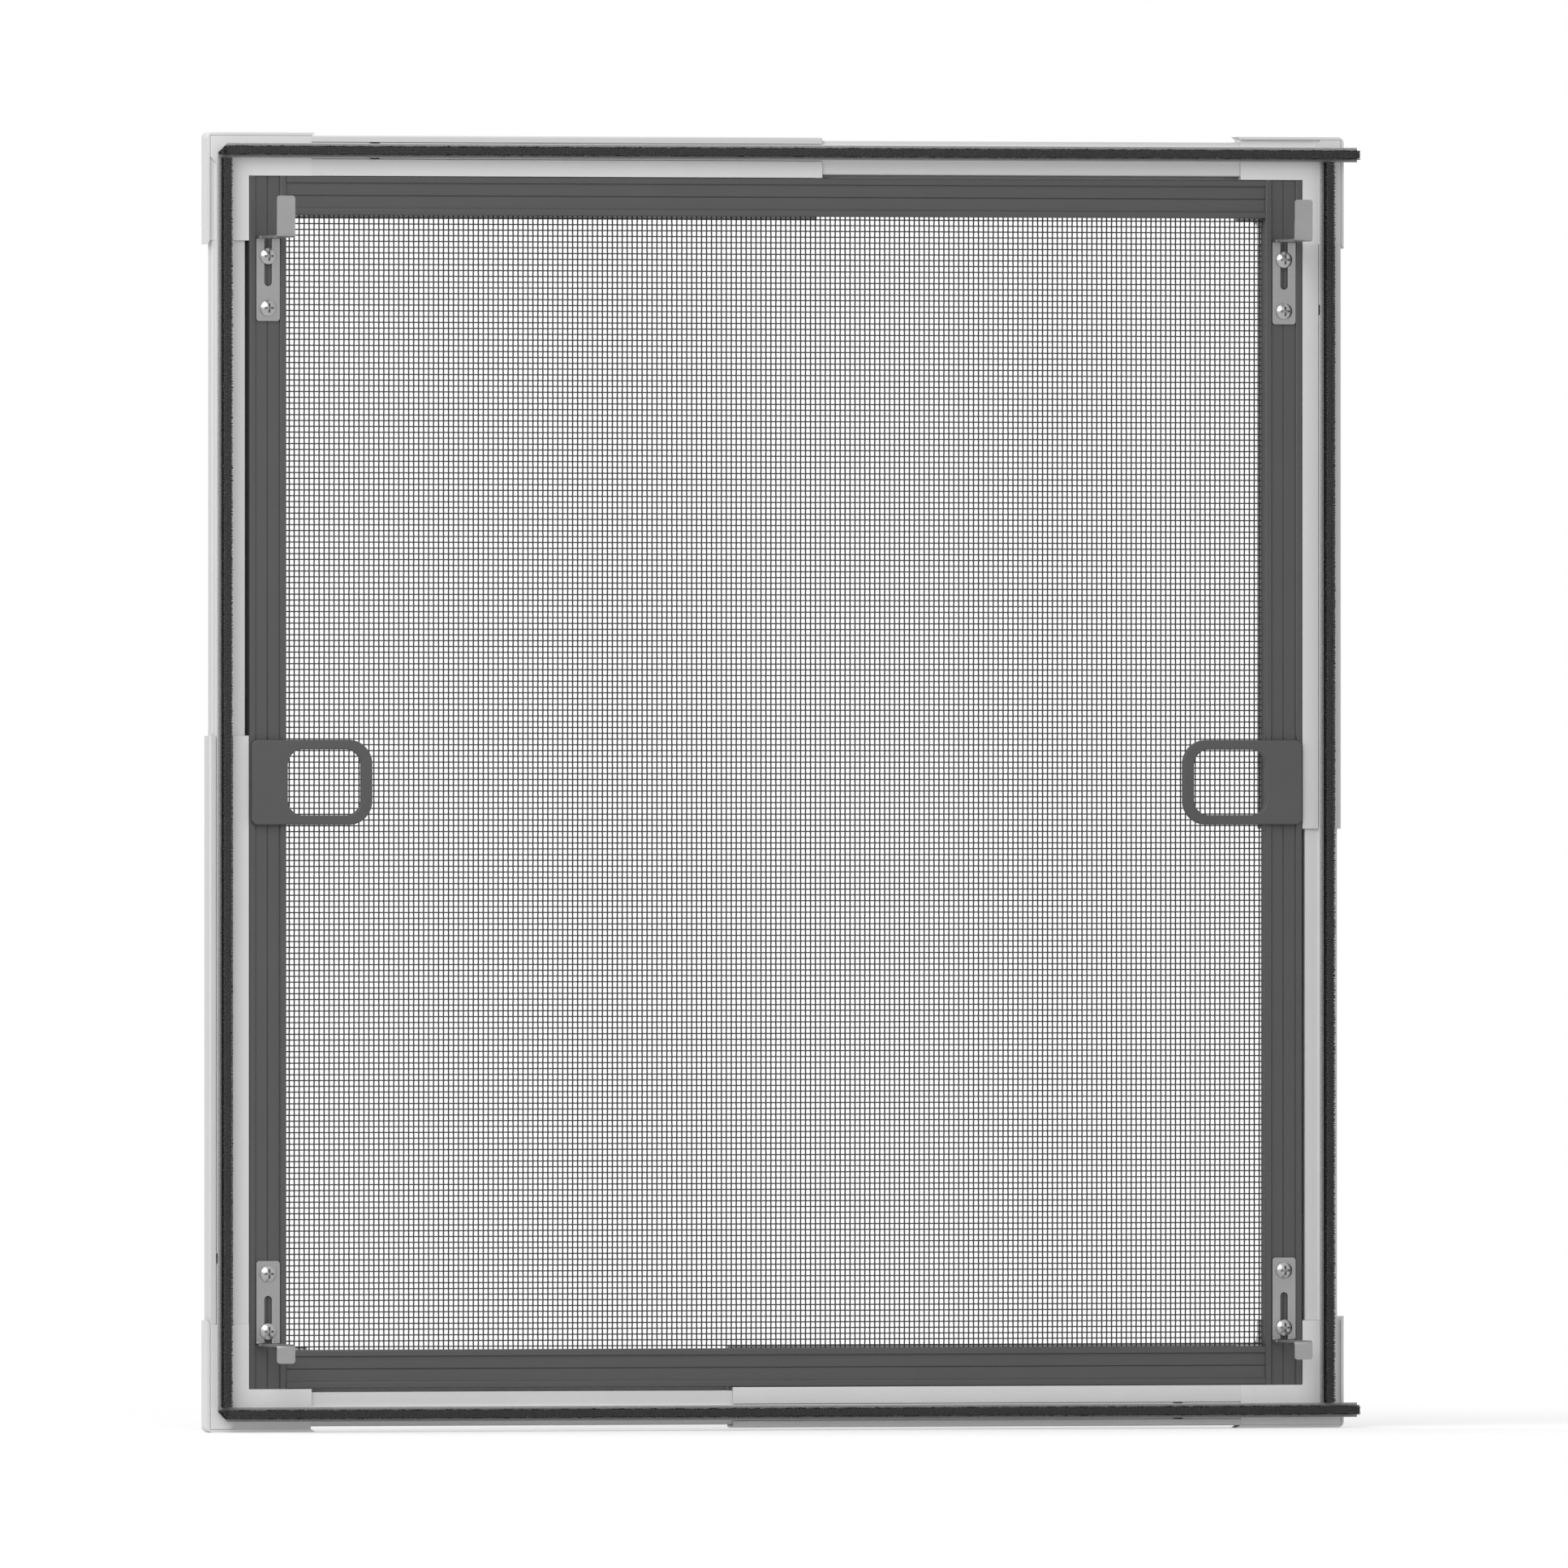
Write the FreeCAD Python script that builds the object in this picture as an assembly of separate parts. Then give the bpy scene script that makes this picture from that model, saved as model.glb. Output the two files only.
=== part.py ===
"""Hang-in insect screen: a dark screen frame held in a white telescoping surround.

X runs to the right, Z up, and the window side faces -Y. Y = 0 is the plane of the brush tips.
Each side of the surround has its own axes: s along the side, u inwards, v away from the window.
"""
import FreeCAD, Part
import math
import os

Vector = FreeCAD.Vector

# Screen frame
screen_width = 542.0
screen_height = 598.0
screen_depth = 8.3
profile_width = 19.0
lip_width = 3.3
lip_radius = 0.6
recess_depth = 1.0
centre_line_depth = 0.4
profile_wall = 1.2
front_wall = 1.2
groove_width = 4.4
groove_depth = 4.6
groove_wall = 2.6
mesh_thickness = 0.5
mesh_tuck = 4.0
spline_play = 0.1
spline_height = 3.8
key_play = 0.2
key_arm = 23.0

# Insect mesh, drawn with broad gaps between bands of wires
mesh_columns = 10
mesh_rows = 12
band_width = 9.0
wires_per_band = 3
wire_width = 0.7
wire_relief = 0.1
mesh_rim = 4.0

# Telescoping surround
screen_clearance = 0.2
section_width = 20.0
sleeve_wall = 1.2
rail_wall = 1.2
slide_clearance = 0.3
section_radius = 0.8
flange_past_screen = 1.2
sleeve_past_middle = 23.0
corner_leg = 52.0
corner_rim = 1.3
rim_overlap = 2.0
rim_end_slant = 1.8
seam_width = 0.4
seam_depth = 0.6
cut_back_start = 10.5
cut_back_slant = 3.5
corner_radius = 3.0
corner_arc = 4.0
spigot_length = 30.0
tongue_gap = 5.0

# Brush seals
strip_inset = 3.9
strip_width = 7.2
strip_thickness = 0.8
strip_overhang = 8.0
strip_end_bevel = 5.0
land_margin = 0.3
pile_width = 4.0
pile_height = 7.2
tuft_pitch = 9.0
tuft_notch = 1.0

# Hanging hooks and their screws
hook_sheet = 1.2
hook_width = 12.0
hook_arm_width = 9.2
hook_step = 6.0
hook_depth = 34.0
hook_base_length = 42.0
hook_bend_radius = 1.0
hook_end_radius = 1.5
hook_slot_width = 3.8
hook_slot_length = 24.8
hook_slot_in_arm = 8.0
hook_hole_from_end = 6.4
upper_hook_from_edge = 29.5
upper_hook_plate = 20.6
upper_screw_from_bend = 10.0
lower_hook_from_edge = 21.0
lower_hook_plate = 9.4
lower_screw_from_bend = 7.2
screw_shank = 3.2
screw_length = 5.0
screw_hole_play = 0.2
screw_head = 8.0
screw_head_height = 2.5
screw_head_rim = 0.9
cross_length = 4.6
cross_width = 1.1
cross_depth = 1.3

# Pull tabs
tab_inset = 0.6
tab_length = 61.8
tab_height = 42.0
tab_thickness = 2.4
tab_side_bar = 4.8
tab_end_bar = 5.8
tab_stile_gap = 0.2
tab_stile_radius = 3.2
tab_free_radius = 12.0
tab_opening_radius = 7.6
tab_edge_radius = 0.8
tab_foot_length = 30.0
tab_foot_play = 0.2

# Worked out from the sizes above
slide_inset = sleeve_wall + slide_clearance
rail_flange_front = screen_depth
rail_back = rail_flange_front + rail_wall
section_depth = rail_back + slide_inset
screen_inset = section_width + screen_clearance
flange_reach = screen_inset + profile_width + flange_past_screen
surround_width = screen_width + 2 * screen_inset
surround_height = screen_height + 2 * screen_inset
front_y = pile_height + strip_thickness
strip_centre = strip_inset + strip_width / 2
land_start = strip_inset - land_margin
land_end = strip_inset + strip_width + land_margin
groove_inner = profile_width - groove_wall
groove_outer = groove_inner - groove_width
groove_floor = screen_depth - groove_depth
mesh_front = screen_depth - mesh_thickness - spline_play
mesh_back = mesh_front + mesh_thickness
chamber_end = groove_outer - profile_wall
chamber_front = recess_depth + front_wall
chamber_back = screen_depth - profile_wall
profile_centre = profile_width / 2

SIDES = ("left", "top", "right", "bottom")
SIDE_AXES = {
    "left": (Vector(-1, 0, -1), Vector(0, 0, 1), Vector(1, 0, 0)),
    "top": (Vector(-1, 0, 1), Vector(1, 0, 0), Vector(0, 0, -1)),
    "right": (Vector(1, 0, 1), Vector(0, 0, -1), Vector(-1, 0, 0)),
    "bottom": (Vector(1, 0, -1), Vector(-1, 0, 0), Vector(0, 0, 1)),
}
START_CORNER = {
    "left": "bottom_left",
    "top": "top_left",
    "right": "top_right",
    "bottom": "bottom_right",
}


def side_length(side):
    return surround_height if side in ("left", "right") else surround_width


def frame_matrix(origin, first, second, third):
    return FreeCAD.Matrix(
        first.x, second.x, third.x, origin.x,
        first.y, second.y, third.y, origin.y,
        first.z, second.z, third.z, origin.z,
        0, 0, 0, 1,
    )


def on_side(shape, side):
    """Move a shape drawn in (s, u, v) to its side of the surround."""
    corner, along, inwards = SIDE_AXES[side]
    origin = Vector(corner.x * surround_width / 2, front_y, corner.z * surround_height / 2)
    return shape.transformed(frame_matrix(origin, along, inwards, Vector(0, 1, 0)))


def outline(points):
    """A closed wire of 3-D points. A point may be a pair (point, radius) to round that corner."""
    corners = [p if isinstance(p, tuple) else (p, 0.0) for p in points]
    edges = []
    first_start = None
    last_end = None
    count = len(corners)
    for i, (point, radius) in enumerate(corners):
        before = corners[i - 1][0]
        after = corners[(i + 1) % count][0]
        start = end = point
        if radius > 0:
            towards_before = (before - point).normalize()
            towards_after = (after - point).normalize()
            half_angle = towards_before.getAngle(towards_after) / 2
            reach = radius / math.tan(half_angle)
            start = point + towards_before * reach
            end = point + towards_after * reach
            middle_way = (towards_before + towards_after).normalize()
            middle = point + middle_way * (radius / math.sin(half_angle) - radius)
        if last_end is not None and last_end.distanceToPoint(start) > 1e-6:
            edges.append(Part.LineSegment(last_end, start).toShape())
        if radius > 0:
            edges.append(Part.Arc(start, middle, end).toShape())
        if first_start is None:
            first_start = start
        last_end = end
    if last_end.distanceToPoint(first_start) > 1e-6:
        edges.append(Part.LineSegment(last_end, first_start).toShape())
    return Part.Wire(edges)


def section(points, s_start, s_end, holes=()):
    """Extrude an outline of (u, v) or (u, v, radius) points along s."""
    def wire(flat):
        placed = []
        for p in flat:
            point = Vector(s_start, p[0], p[1])
            placed.append((point, p[2]) if len(p) == 3 else point)
        return outline(placed)
    wires = [wire(points)] + [wire(hole) for hole in holes]
    face = Part.makeFace(wires, "Part::FaceMakerBullseye")
    return face.extrude(Vector(s_end - s_start, 0, 0))


def plate(points, v_start, v_end):
    """Extrude an outline of (s, u) or (s, u, radius) points along v."""
    placed = []
    for p in points:
        point = Vector(p[0], p[1], v_start)
        placed.append((point, p[2]) if len(p) == 3 else point)
    return Part.Face(outline(placed)).extrude(Vector(0, 0, v_end - v_start))


def block(s0, s1, u0, u1, v0, v1):
    return Part.makeBox(s1 - s0, u1 - u0, v1 - v0, Vector(s0, u0, v0))


def rectangle(u0, u1, v0, v1):
    return [(u0, v0), (u1, v0), (u1, v1), (u0, v1)]


def slide_outline():
    """Outside of the slide rail: a box with a raised land that carries the brush strip."""
    near = slide_inset
    far = section_width - slide_inset
    return [
        (near, slide_inset, section_radius), (land_start, slide_inset), (land_start, 0),
        (land_end, 0), (land_end, slide_inset), (far, slide_inset, section_radius),
        (far, rail_back), (near, rail_back, section_radius),
    ]


def sleeve_end(side):
    return side_length(side) / 2 + sleeve_past_middle


def sleeve(side):
    """Outer telescope half: a channel slotted in front for the land, with a flange behind the screen."""
    slot_start = land_start - slide_clearance
    slot_end = land_end + slide_clearance
    inner = section_width - sleeve_wall
    back = section_depth - sleeve_wall
    points = [
        (slot_start, 0), (0, 0, section_radius), (0, section_depth, section_radius),
        (flange_reach, section_depth), (flange_reach, back), (section_width, back),
        (section_width, 0), (slot_end, 0), (slot_end, sleeve_wall), (inner, sleeve_wall),
        (inner, back), (sleeve_wall, back), (sleeve_wall, sleeve_wall), (slot_start, sleeve_wall),
    ]
    return section(points, corner_leg, sleeve_end(side))


def slide_rail(side):
    """Inner telescope half: a hollow bar that runs on inside the sleeve, flanged where it shows."""
    start = corner_leg + spigot_length + tongue_gap
    end = side_length(side) - corner_leg
    near = slide_inset + rail_wall
    far = section_width - near
    hollow = rectangle(near, far, slide_inset + rail_wall, rail_back - rail_wall)
    bar = section(slide_outline(), start, end, [hollow])
    flange_start = sleeve_end(side) + slide_clearance
    flange = block(
        flange_start, end, far, flange_reach - slide_inset, rail_flange_front, rail_back
    )
    return bar.fuse(flange).removeSplitter()


def corner():
    """Moulded corner. Its sleeve leg runs along s and its slide rail leg along u.

    A seam parts the front from the rim, and on the slide rail leg the front is cut back outside the brush.
    """
    legs = plate(
        [(0, 0), (corner_leg, 0), (corner_leg, section_width), (section_width, section_width),
         (section_width, corner_leg), (0, corner_leg)],
        0, section_depth,
    )
    rim_end = corner_leg + rim_overlap
    rim = plate(
        [(-corner_rim, -corner_rim, corner_radius), (rim_end, -corner_rim), (rim_end - rim_end_slant, 0),
         (0, 0), (0, rim_end - rim_end_slant), (-corner_rim, rim_end)],
        0, section_depth,
    )
    back_plate = plate(
        [(0, 0), (corner_leg, 0), (corner_leg, flange_reach), (flange_reach, flange_reach, corner_arc),
         (flange_reach, corner_leg), (0, corner_leg)],
        rail_flange_front, section_depth,
    )
    sleeve_spigot = section(slide_outline(), corner_leg, corner_leg + spigot_length)
    near = slide_inset + rail_wall + slide_clearance
    far = section_width - near
    rail_spigot = block(
        near, far, corner_leg, corner_leg + spigot_length,
        slide_inset + rail_wall + slide_clearance, rail_back - rail_wall - slide_clearance,
    )
    seam = plate(
        [(0, 0), (corner_leg, 0), (corner_leg, seam_width), (seam_width, seam_width),
         (seam_width, corner_leg), (0, corner_leg)],
        0, seam_depth,
    )
    cut_back = plate(
        [(0, cut_back_start), (land_start, cut_back_start + cut_back_slant), (land_start, corner_leg),
         (0, corner_leg)],
        0, slide_inset,
    )
    solid = legs.multiFuse([rim, back_plate, sleeve_spigot, rail_spigot])
    return solid.cut([seam, cut_back]).removeSplitter()


def strip_range(side):
    """The level strips run past the right edge; the upright ones stand between them."""
    length = side_length(side)
    if side == "top":
        return strip_inset, length + strip_overhang
    if side == "bottom":
        return -strip_overhang, length - strip_inset
    butt = strip_inset + strip_width
    return butt, length - butt


def brush_strip(side):
    """Adhesive backing with an upright pile that is nicked between its tufts."""
    start, end = strip_range(side)
    backing = block(start, end, strip_inset, strip_inset + strip_width, -strip_thickness, 0)
    tip = -strip_thickness - pile_height
    tufts = max(1, round((end - start) / tuft_pitch))
    pitch = (end - start) / tufts
    u_start = strip_centre - pile_width / 2
    points = [Vector(end, u_start, -strip_thickness), Vector(start, u_start, -strip_thickness)]
    points.append(Vector(start, u_start, tip))
    for i in range(1, tufts):
        nick = start + i * pitch
        points.append(Vector(nick - tuft_notch / 2, u_start, tip))
        points.append(Vector(nick, u_start, tip + tuft_notch))
        points.append(Vector(nick + tuft_notch / 2, u_start, tip))
    points.append(Vector(end, u_start, tip))
    pile = Part.Face(outline(points)).extrude(Vector(0, pile_width, 0))
    strip = backing.fuse(pile).removeSplitter()
    if side in ("top", "bottom"):
        strip = strip.cut(strip_bevel(side)).removeSplitter()
    return strip


def strip_bevel(side):
    """The left end of a level strip is cut back at its outer corner."""
    length = side_length(side)
    left_end = strip_inset if side == "top" else length - strip_inset
    inwards = strip_end_bevel if side == "top" else -strip_end_bevel
    tip = -strip_thickness - pile_height
    return plate(
        [(left_end, strip_inset), (left_end + inwards, strip_inset),
         (left_end, strip_inset + strip_end_bevel)],
        tip, 0,
    )


def screen_section(s_start, s_end):
    """Screen profile: two lips and a recess in front, a chamber, and the spline groove behind."""
    recess_end = profile_width - lip_width
    half_line = centre_line_depth
    points = [
        (0, 0, lip_radius), (lip_width, 0, lip_radius), (lip_width, recess_depth),
        (profile_centre - half_line, recess_depth),
        (profile_centre, recess_depth + centre_line_depth),
        (profile_centre + half_line, recess_depth), (recess_end, recess_depth),
        (recess_end, 0, lip_radius), (profile_width, 0, lip_radius), (profile_width, mesh_front),
        (groove_inner, mesh_front), (groove_inner, groove_floor), (groove_outer, groove_floor),
        (groove_outer, screen_depth), (0, screen_depth),
    ]
    chamber = rectangle(profile_wall, chamber_end, chamber_front, chamber_back)
    placed = [(screen_inset + p[0],) + p[1:] for p in points]
    hole = [(screen_inset + p[0], p[1]) for p in chamber]
    return section(placed, s_start, s_end, [hole])


def stile(side):
    """Full-height upright, opened at its ends for the corner keys and the level spline grooves."""
    length = side_length(side)
    start = screen_inset
    end = length - screen_inset
    body = screen_section(start, end)
    key_span = (profile_wall, chamber_end)
    groove_span = (groove_outer, groove_inner)
    far_edge = screen_inset + profile_width
    cuts = []
    for end_place, way in ((start, 1), (end, -1)):
        key_from, key_to = sorted(end_place + way * reach for reach in key_span)
        cuts.append(block(
            key_from, key_to, screen_inset + chamber_end, far_edge, chamber_front, chamber_back
        ))
        notch_from, notch_to = sorted(end_place + way * reach for reach in groove_span)
        cuts.append(block(
            notch_from, notch_to, screen_inset + groove_inner, far_edge, groove_floor, mesh_front
        ))
    hole_radius = (screw_shank + screw_hole_play) / 2
    for s in screw_places(side):
        cuts.append(Part.makeCylinder(
            hole_radius, screw_length,
            Vector(s, screen_inset + profile_centre, recess_depth), Vector(0, 0, 1),
        ))
    return body.cut(cuts)


def screen_rail(side):
    """Level bar between the two stiles."""
    start = screen_inset + profile_width
    return screen_section(start, side_length(side) - start)


def corner_key(side):
    """Angle pressed into the chambers of a stile and a rail, at the corner where a side starts."""
    near = screen_inset + profile_wall + key_play
    across = screen_inset + chamber_end - key_play
    stile_arm = screen_inset + key_arm
    rail_arm = screen_inset + profile_width + key_arm
    s_end, u_end = (stile_arm, rail_arm) if side in ("left", "right") else (rail_arm, stile_arm)
    return plate(
        [(near, near), (s_end, near), (s_end, across), (across, across),
         (across, u_end), (near, u_end)],
        chamber_front + key_play, chamber_back - key_play,
    )


def centred_box(half_x, half_z, v0, v1):
    return Part.makeBox(
        2 * half_x, v1 - v0, 2 * half_z, Vector(-half_x, front_y + v0, -half_z)
    )


def insect_mesh():
    """One thin wall with a grid of gaps, ribbed along its bands and tucked into the spline grooves."""
    tuck_inset = groove_inner - mesh_thickness
    half_x = screen_width / 2 - tuck_inset
    half_z = screen_height / 2 - tuck_inset
    open_x = screen_width / 2 - profile_width - mesh_rim
    open_z = screen_height / 2 - profile_width - mesh_rim
    rim = centred_box(half_x, half_z, mesh_front, mesh_back)
    rim = rim.cut(centred_box(open_x, open_z, mesh_front, mesh_back))
    tuck_end = mesh_back - mesh_tuck
    tuck = centred_box(half_x, half_z, tuck_end, mesh_front)
    tuck = tuck.cut(centred_box(half_x - mesh_thickness, half_z - mesh_thickness, tuck_end, mesh_front))
    wall = centred_box(open_x, open_z, mesh_front + wire_relief, mesh_back - wire_relief)
    gap_x = (2 * open_x - (mesh_columns - 1) * band_width) / mesh_columns
    gap_z = (2 * open_z - (mesh_rows - 1) * band_width) / mesh_rows
    gaps = []
    for column in range(mesh_columns):
        x = -open_x + column * (gap_x + band_width)
        for row in range(mesh_rows):
            z = -open_z + row * (gap_z + band_width)
            gaps.append(Part.makeBox(
                gap_x, mesh_thickness, gap_z, Vector(x, front_y + mesh_front, z)
            ))
    wires = []
    for wire in range(wires_per_band):
        offset = (wire + 0.5) * band_width / wires_per_band - wire_width / 2
        for band in range(mesh_columns - 1):
            x = -open_x + (band + 1) * gap_x + band * band_width + offset
            wires.append(Part.makeBox(
                wire_width, wire_relief, 2 * open_z, Vector(x, front_y + mesh_front, -open_z)
            ))
        for band in range(mesh_rows - 1):
            z = -open_z + (band + 1) * gap_z + band * band_width + offset
            wires.append(Part.makeBox(
                2 * open_x, wire_relief, wire_width,
                Vector(-open_x, front_y + mesh_back - wire_relief, z),
            ))
    cloth = wall.cut(Part.makeCompound(gaps))
    return cloth.multiFuse([rim, tuck] + wires).removeSplitter()


def spline(side):
    """Rubber cord that holds the mesh in its groove. The upright lengths run through at the corners."""
    near = screen_inset + groove_outer + spline_play
    far = screen_inset + groove_inner - mesh_thickness - spline_play
    if side in ("left", "right"):
        start = near
    else:
        start = far + spline_play
    bottom = groove_floor + spline_play
    corner_round = spline_height / 4
    points = [p + (corner_round,) for p in rectangle(near, far, bottom, bottom + spline_height)]
    return section(points, start, side_length(side) - start)


def hook_layout(side):
    """For both hooks of a stile: bend place on s, direction of the base, plate length, screw place."""
    upper = (upper_hook_from_edge, upper_hook_plate, upper_screw_from_bend)
    lower = (lower_hook_from_edge, lower_hook_plate, lower_screw_from_bend)
    first, last = (lower, upper) if side == "left" else (upper, lower)
    length = side_length(side)
    return [
        (screen_inset + first[0], 1, first[1], first[2]),
        (length - screen_inset - last[0], -1, last[1], last[2]),
    ]


def screw_places(side):
    places = []
    for bend, way, _, from_bend in hook_layout(side):
        places.append(bend + way * from_bend)
        places.append(bend + way * (hook_base_length - hook_hole_from_end))
    return places


def hook(plate_length):
    """Folded strip: base in the screen recess, arm towards the window, plate turned outwards.

    Drawn with s from the bend along the base and u across the width.
    """
    base_back = recess_depth
    base_front = base_back - hook_sheet
    plate_front = base_front - hook_depth
    plate_back = plate_front + hook_sheet
    outer_bend = hook_bend_radius + hook_sheet
    plate_tip = hook_sheet - plate_length
    half = hook_width / 2
    side_view = [
        Vector(hook_base_length, -half, base_back), (Vector(0, -half, base_back), outer_bend),
        (Vector(0, -half, plate_back), hook_bend_radius), Vector(plate_tip, -half, plate_back),
        Vector(plate_tip, -half, plate_front), (Vector(hook_sheet, -half, plate_front), outer_bend),
        (Vector(hook_sheet, -half, base_front), hook_bend_radius),
        Vector(hook_base_length, -half, base_front),
    ]
    strip = Part.Face(outline(side_view)).extrude(Vector(0, hook_width, 0))
    arm_half = hook_arm_width / 2
    step = base_front - hook_step
    cuts = []
    for u0, u1 in ((-half, -arm_half), (arm_half, half)):
        cuts.append(block(plate_tip, hook_base_length, u0, u1, plate_front, step))
    slot_half = hook_slot_width / 2
    slot_round = hook_slot_length - slot_half
    cuts.append(block(0, slot_round, -slot_half, slot_half, base_front - hook_slot_in_arm, base_back))
    cuts.append(Part.makeCylinder(
        slot_half, hook_sheet, Vector(slot_round, 0, base_front), Vector(0, 0, 1)
    ))
    hole_place = hook_base_length - hook_hole_from_end
    cuts.append(Part.makeCylinder(
        slot_half, hook_sheet, Vector(hole_place, 0, base_front), Vector(0, 0, 1)
    ))
    strip = strip.cut(cuts).removeSplitter()
    ends = [e for e in strip.Edges if end_corner(e, plate_tip)]
    return strip.makeFillet(hook_end_radius, ends)


def end_corner(edge, plate_tip):
    """True for the short upright edges at the two free ends of a hook."""
    box = edge.BoundBox
    short = abs(box.ZLength - hook_sheet) < 1e-6 and box.XLength < 1e-6 and box.YLength < 1e-6
    at_end = abs(box.XMin - hook_base_length) < 1e-6 or abs(box.XMin - plate_tip) < 1e-6
    return short and at_end


def hooks(side):
    made = []
    for bend, way, plate_length, _ in hook_layout(side):
        turn = FreeCAD.Matrix(
            way, 0, 0, bend, 0, way, 0, screen_inset + profile_centre, 0, 0, 1, 0, 0, 0, 0, 1
        )
        made.append(on_side(hook(plate_length).transformed(turn), side))
    return made


def screw():
    """Pan-head screw with a cross recess, drawn along v with its seat at v = 0."""
    radius = screw_head / 2
    shank = screw_shank / 2
    shoulder = Vector(radius, 0, -screw_head_rim)
    crown = Vector(0, 0, -screw_head_height)
    rise = screw_head_height - screw_head_rim
    dome_radius = (radius * radius + rise * rise) / (2 * rise)
    half_turn = math.asin(radius / dome_radius) / 2
    dome_centre = dome_radius - screw_head_height
    middle = Vector(
        dome_radius * math.sin(half_turn), 0, dome_centre - dome_radius * math.cos(half_turn)
    )
    bottom = Vector(0, 0, screw_length)
    edges = [
        Part.LineSegment(bottom, Vector(shank, 0, screw_length)).toShape(),
        Part.LineSegment(Vector(shank, 0, screw_length), Vector(shank, 0, 0)).toShape(),
        Part.LineSegment(Vector(shank, 0, 0), Vector(radius, 0, 0)).toShape(),
        Part.LineSegment(Vector(radius, 0, 0), shoulder).toShape(),
        Part.Arc(shoulder, middle, crown).toShape(),
        Part.LineSegment(crown, bottom).toShape(),
    ]
    turned = Part.Face(Part.Wire(edges)).revolve(Vector(0, 0, 0), Vector(0, 0, 1), 360)
    long_half = cross_length / 2
    wide_half = cross_width / 2
    top = -screw_head_height
    bars = [
        block(-long_half, long_half, -wide_half, wide_half, top, top + cross_depth),
        block(-wide_half, wide_half, -long_half, long_half, top, top + cross_depth),
    ]
    return turned.cut(bars)


def hook_screws():
    seat = recess_depth - hook_sheet
    made = []
    for side in ("left", "right"):
        for s in screw_places(side):
            placed = screw()
            placed.translate(Vector(s, screen_inset + profile_centre, seat))
            made.append(on_side(placed, side))
    return Part.makeCompound(made)


def pull_tab(side):
    """Moulded finger loop with a foot that fills the screen recess."""
    middle = side_length(side) / 2
    low = middle - tab_height / 2
    high = middle + tab_height / 2
    near = screen_inset + tab_inset
    far = near + tab_length
    body = plate(
        [(low, near, tab_stile_radius), (high, near, tab_stile_radius),
         (high, far, tab_free_radius), (low, far, tab_free_radius)],
        -tab_thickness, 0,
    )
    opening_near = screen_inset + profile_width + tab_stile_gap
    opening_far = far - tab_end_bar
    opening = plate(
        [(low + tab_side_bar, opening_near, tab_opening_radius),
         (high - tab_side_bar, opening_near, tab_opening_radius),
         (high - tab_side_bar, opening_far, tab_opening_radius),
         (low + tab_side_bar, opening_far, tab_opening_radius)],
        -tab_thickness, 0,
    )
    ring = body.cut(opening)
    front_edges = [e for e in ring.Edges if abs(e.BoundBox.ZMax + tab_thickness) < 1e-6]
    ring = ring.makeFillet(tab_edge_radius, front_edges)
    foot = block(
        middle - tab_foot_length / 2, middle + tab_foot_length / 2,
        screen_inset + lip_width + tab_foot_play,
        screen_inset + profile_width - lip_width - tab_foot_play, 0, recess_depth,
    )
    return ring.fuse(foot)


def build():
    """Every piece by the name of its node."""
    pieces = {}
    for side in SIDES:
        start_corner = START_CORNER[side]
        pieces["corner_" + start_corner] = on_side(corner(), side)
        pieces["sleeve_" + side] = on_side(sleeve(side), side)
        pieces["slide_rail_" + side] = on_side(slide_rail(side), side)
        pieces["brush_strip_" + side] = on_side(brush_strip(side), side)
        pieces["corner_key_" + start_corner] = on_side(corner_key(side), side)
        pieces["spline_" + side] = on_side(spline(side), side)
    for side in ("left", "right"):
        pieces["stile_" + side] = on_side(stile(side), side)
        pieces["pull_tab_" + side] = on_side(pull_tab(side), side)
        first, last = hooks(side)
        lower, upper = (first, last) if side == "left" else (last, first)
        pieces["hook_lower_" + side] = lower
        pieces["hook_upper_" + side] = upper
    for side in ("top", "bottom"):
        pieces["screen_rail_" + side] = on_side(screen_rail(side), side)
    pieces["insect_mesh"] = insect_mesh()
    pieces["hook_screws"] = hook_screws()
    return pieces


os.makedirs("parts", exist_ok=True)
for node, shape in build().items():
    shape.exportStep("parts/" + node + ".step")
    print(node, len(shape.Solids), shape.isValid(), round(shape.Volume, 1))
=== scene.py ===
"""Dresses a hang-in insect screen: finishes for its white telescoping surround, dark screen frame, hooks and
finger loops, with woven mesh and brush seals in place of their plain solids, and a studio around it."""

import math
import random

import bpy
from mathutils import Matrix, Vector


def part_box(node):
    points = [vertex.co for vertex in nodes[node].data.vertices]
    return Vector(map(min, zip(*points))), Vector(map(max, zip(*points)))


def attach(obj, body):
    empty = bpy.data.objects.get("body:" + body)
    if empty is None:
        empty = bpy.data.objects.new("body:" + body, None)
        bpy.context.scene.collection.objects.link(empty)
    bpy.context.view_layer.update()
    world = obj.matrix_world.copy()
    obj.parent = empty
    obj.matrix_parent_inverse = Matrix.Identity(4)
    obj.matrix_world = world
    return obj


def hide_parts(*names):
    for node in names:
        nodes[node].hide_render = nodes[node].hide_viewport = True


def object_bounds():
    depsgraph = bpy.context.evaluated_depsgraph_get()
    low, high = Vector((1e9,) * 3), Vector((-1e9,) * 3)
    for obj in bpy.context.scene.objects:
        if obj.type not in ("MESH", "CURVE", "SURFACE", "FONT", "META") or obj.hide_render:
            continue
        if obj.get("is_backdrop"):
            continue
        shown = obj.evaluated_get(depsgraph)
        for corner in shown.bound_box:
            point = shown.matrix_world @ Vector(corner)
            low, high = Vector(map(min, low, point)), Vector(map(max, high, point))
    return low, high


bl_info = {
    "name": "Insect screen dressing",
    "version": (1, 0, 0),
    "blender": (4, 5, 0),
    "location": "3D View > Sidebar > Screen",
    "description": "Finishes, woven mesh, brush seals and studio for a hang-in insect screen",
    "category": "Object",
}

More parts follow.
